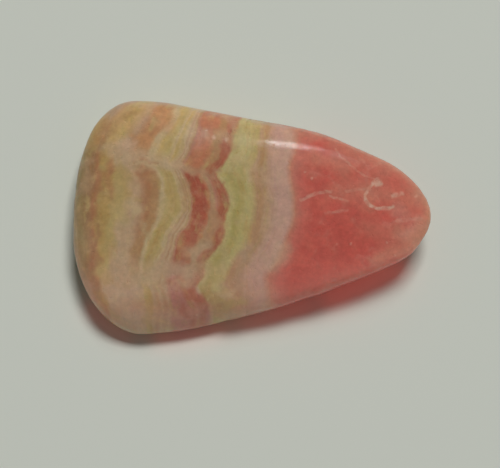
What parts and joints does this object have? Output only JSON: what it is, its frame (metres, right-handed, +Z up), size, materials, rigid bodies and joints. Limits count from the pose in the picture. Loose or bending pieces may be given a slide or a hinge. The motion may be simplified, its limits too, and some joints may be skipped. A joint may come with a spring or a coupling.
{
  "type": "rhodochrosite slab",
  "caption": "Tumble-polished free-form slab of banded pink, red and yellow-green rhodochrosite, broad at one end and rounded to a narrow tip, lying on its flat side.",
  "frame": {"origin": "the middle of the stone's footprint, on the surface that it rests on", "axes": "+X runs from the broad end to the narrow tip, +Y across the stone, and +Z up through the slab from the flat that it rests on"},
  "size_m": [0.0358, 0.0236, 0.0062],
  "materials": {
    "rhodochrosite": "Polished and slightly translucent, with scalloped growth bands: olive-tan and ochre at the broad end, cream and yellow lines, dark red lenses, a yellow-green band, a milky mauve band and a deep red tip with whitish fractures."
  },
  "bodies": {
    "root": {"stone": "rhodochrosite"}
  },
  "joints": []
}
